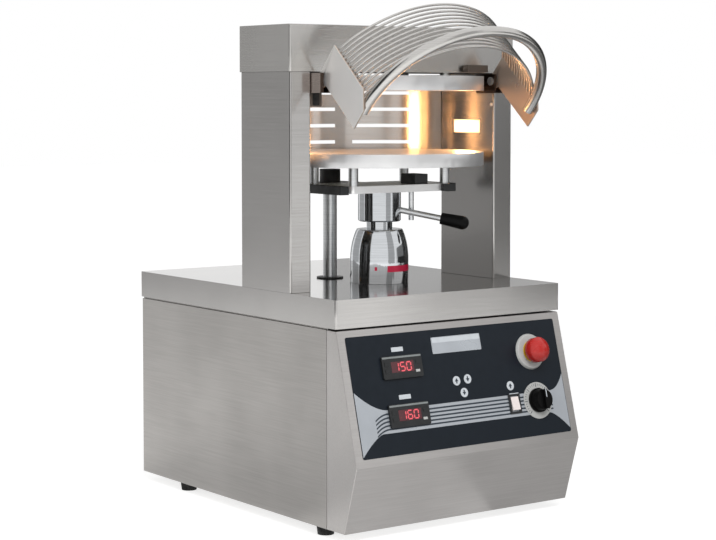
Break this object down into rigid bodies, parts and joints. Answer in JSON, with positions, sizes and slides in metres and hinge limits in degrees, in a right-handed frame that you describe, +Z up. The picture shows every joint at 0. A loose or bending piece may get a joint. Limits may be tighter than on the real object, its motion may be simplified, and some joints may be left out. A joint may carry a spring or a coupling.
{
  "type": "pizza dough press",
  "caption": "Heated dough press: round lower plate on a screw ram rises to a fixed upper plate between two uprights on a steel cabinet, with a hinged wire guard and sloping control panel.",
  "frame": {"origin": "on the floor, under the middle of the part's box with the guard raised", "axes": "+Z up along the ram, -Y towards the user and the control panel, +X to the user's right"},
  "size_m": [0.464, 0.7089, 0.8362],
  "materials": {
    "satin_steel": "satin",
    "worktop_steel": "polished",
    "guard_steel": "satin",
    "chrome": "polished",
    "plate_metal": "machined",
    "frame_steel": "machined",
    "galvanised": "dull",
    "dark_metal": "satin",
    "black_plastic": "matte",
    "knob_plastic": "gloss",
    "rubber": "matte",
    "bronze": "machined",
    "motor_paint": "satin",
    "heater_sheath": "heat stained",
    "insulation": "matte",
    "panel_film": "satin",
    "display_red": "gloss",
    "stop_red": "gloss",
    "pale_plastic": "satin",
    "lamp_glass": "frosted"
  },
  "bodies": {
    "base": {"base_pan": "galvanised", "left_side_panel": "satin_steel", "right_side_panel": "satin_steel", "back_panel": "satin_steel", "front_fascia": "satin_steel", "worktop_cap": "worktop_steel", "feet": "rubber", "left_upright": "satin_steel", "right_upright": "satin_steel", "header_box": "satin_steel", "tie_rods": "frame_steel", "tie_nuts": "frame_steel", "top_beam": "frame_steel", "bottom_beam": "frame_steel", "upper_platen": "plate_metal", "upper_heater": "heater_sheath", "upper_insulation": "insulation", "upper_studs": "chrome", "rear_guard": "worktop_steel", "lamp_housings": "galvanised", "lamp_lenses": "lamp_glass", "hinge_brackets": "guard_steel", "guard_switch": "black_plastic", "bell_cover": "chrome", "ram_bush": "bronze", "guide_bush": "dark_metal", "gear_motor": "motor_paint", "nut_bearing": "frame_steel", "drive_belt": "rubber", "control_box": "motor_paint", "mains_gland": "black_plastic", "panel_overlay": "panel_film", "thermostats": "black_plastic", "display_windows": "display_red", "stop_base": "pale_plastic", "switch_frame": "black_plastic", "timer_dial": "pale_plastic", "screws": "satin_steel"},
    "ram": {"lower_platen": "plate_metal", "lower_heater": "heater_sheath", "lower_insulation": "insulation", "carrier_plate": "plate_metal", "standoffs": "chrome", "terminal_blocks": "black_plastic", "ram_screw": "chrome", "guide_arm": "dark_metal", "guide_rod": "chrome", "stop_pin": "chrome"},
    "collar": {"thickness_collar": "chrome", "lever_rod": "chrome", "lever_grip": "knob_plastic"},
    "nut": {"nut_pulley": "frame_steel"},
    "motor_drive": {"motor_pulley": "frame_steel"},
    "guard": {"guard_side_plates": "guard_steel", "guard_wires": "guard_steel", "guard_handle": "guard_steel", "hinge_pins": "guard_steel"},
    "stop": {"stop_button": "stop_red"},
    "timer": {"timer_knob": "knob_plastic"},
    "rocker": {"start_rocker": "pale_plastic"}
  },
  "joints": [
    {"name": "ram_lift", "type": "slide", "parent": "base", "child": "ram", "axis": [0, 0, 1], "range_m": [0, 0.096]},
    {"name": "nut_spin", "type": "hinge", "parent": "base", "child": "nut", "pos_m": [0, -0.05053, 0.26], "axis": [0, 0, 1], "range_deg": [0, 1441]},
    {"name": "motor_spin", "type": "hinge", "parent": "base", "child": "motor_drive", "pos_m": [0.11, 0.14947, 0.26], "axis": [0, 0, 1], "range_deg": [0, 3602]},
    {"name": "collar_turn", "type": "hinge", "parent": "ram", "child": "collar", "pos_m": [0, -0.05053, 0.503], "axis": [0, 0, 1], "range_deg": [-90, 0]},
    {"name": "guard_hinge", "type": "hinge", "parent": "base", "child": "guard", "pos_m": [0, -0.13853, 0.713], "axis": [1, 0, 0], "range_deg": [0, 48]},
    {"name": "stop_push", "type": "slide", "parent": "base", "child": "stop", "axis": [0, 0.9664, -0.2569], "range_m": [0, 0.006], "stiffness_N_per_m": 1500},
    {"name": "timer_turn", "type": "hinge", "parent": "base", "child": "timer", "pos_m": [0.152, -0.28077, 0.1888], "axis": [0, -0.9664, 0.2569], "range_deg": [-270, 0]},
    {"name": "rocker_tilt", "type": "hinge", "parent": "base", "child": "rocker", "pos_m": [0.102, -0.27919, 0.18735], "axis": [1, 0, 0], "range_deg": [0, 14]}
  ],
  "couplings": [
    {"joint": "nut_spin", "follows": "ram_lift", "rad_per_m": 261.8},
    {"joint": "motor_spin", "follows": "ram_lift", "rad_per_m": 654.5}
  ]
}
